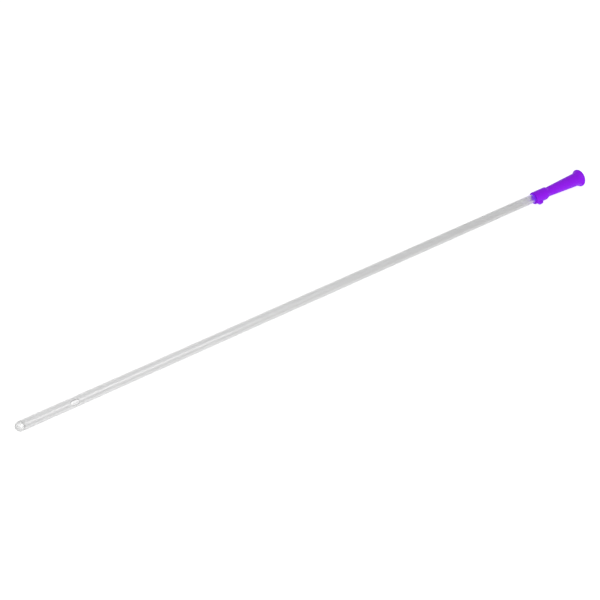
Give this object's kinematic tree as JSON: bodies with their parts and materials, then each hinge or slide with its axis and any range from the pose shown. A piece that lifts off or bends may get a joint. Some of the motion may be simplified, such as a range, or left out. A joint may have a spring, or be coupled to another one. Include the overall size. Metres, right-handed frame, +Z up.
{
  "type": "funnel-end catheter tube",
  "caption": "Straight clear flexible tube with a closed round tip and one side eye, bonded into a violet flared funnel connector with a collar and lug.",
  "frame": {"origin": "centre of the funnel's mouth, in the plane of its rim", "axes": "+X along the tube's axis and out of the mouth, so the closed tip lies towards -X; +Z up; the side eye faces -Y and up, and the collar's lug faces -Y and down"},
  "size_m": [0.5, 0.015, 0.015],
  "materials": {
    "clear_tubing": "satin",
    "clear_tip": "gloss",
    "violet_moulding": "satin"
  },
  "bodies": {
    "root": {"shaft_tube": "clear_tubing", "rounded_tip": "clear_tip", "funnel_connector": "violet_moulding"}
  },
  "joints": []
}
